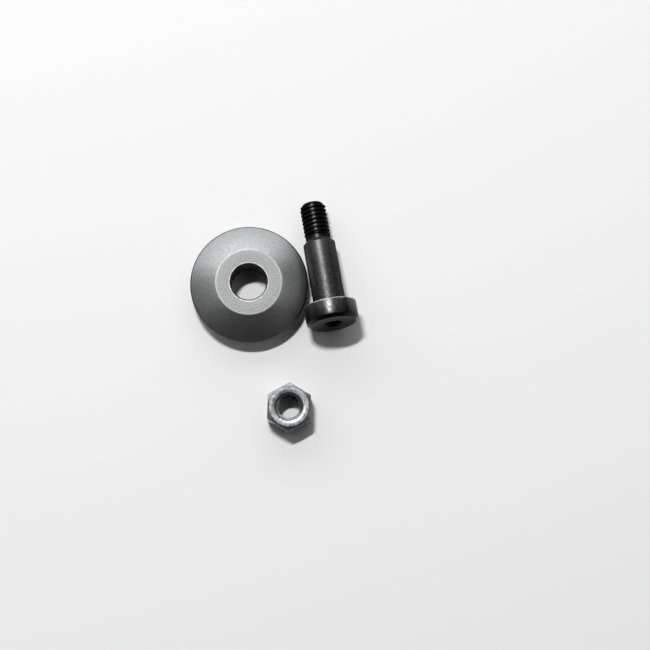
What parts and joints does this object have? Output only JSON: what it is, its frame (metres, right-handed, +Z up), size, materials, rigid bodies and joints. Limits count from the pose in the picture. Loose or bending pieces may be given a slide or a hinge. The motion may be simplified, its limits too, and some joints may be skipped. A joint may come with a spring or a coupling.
{
  "type": "tile cutter wheel",
  "caption": "Double-cone carbide scoring wheel for a tile cutter, lying flat beside the shoulder screw it turns on and the screw's hex nut.",
  "frame": {"origin": "on the surface that the set lies on, under the middle of the set's box", "axes": "+Z up from the surface; +Y back, roughly along the lying screw towards its tip; +X right, from the wheel towards the screw"},
  "size_m": [0.0314, 0.0436, 0.0101],
  "materials": {
    "sintered_carbide": "satin grey sintered tungsten carbide, ground at the edge",
    "black_oxide_steel": "black oxide, scuffed bright along the shoulder",
    "zinc_plated_steel": "bright zinc plate"
  },
  "bodies": {
    "root": {"cutting_wheel": "sintered_carbide", "shoulder_screw": "black_oxide_steel", "hex_nut": "zinc_plated_steel"}
  },
  "joints": []
}
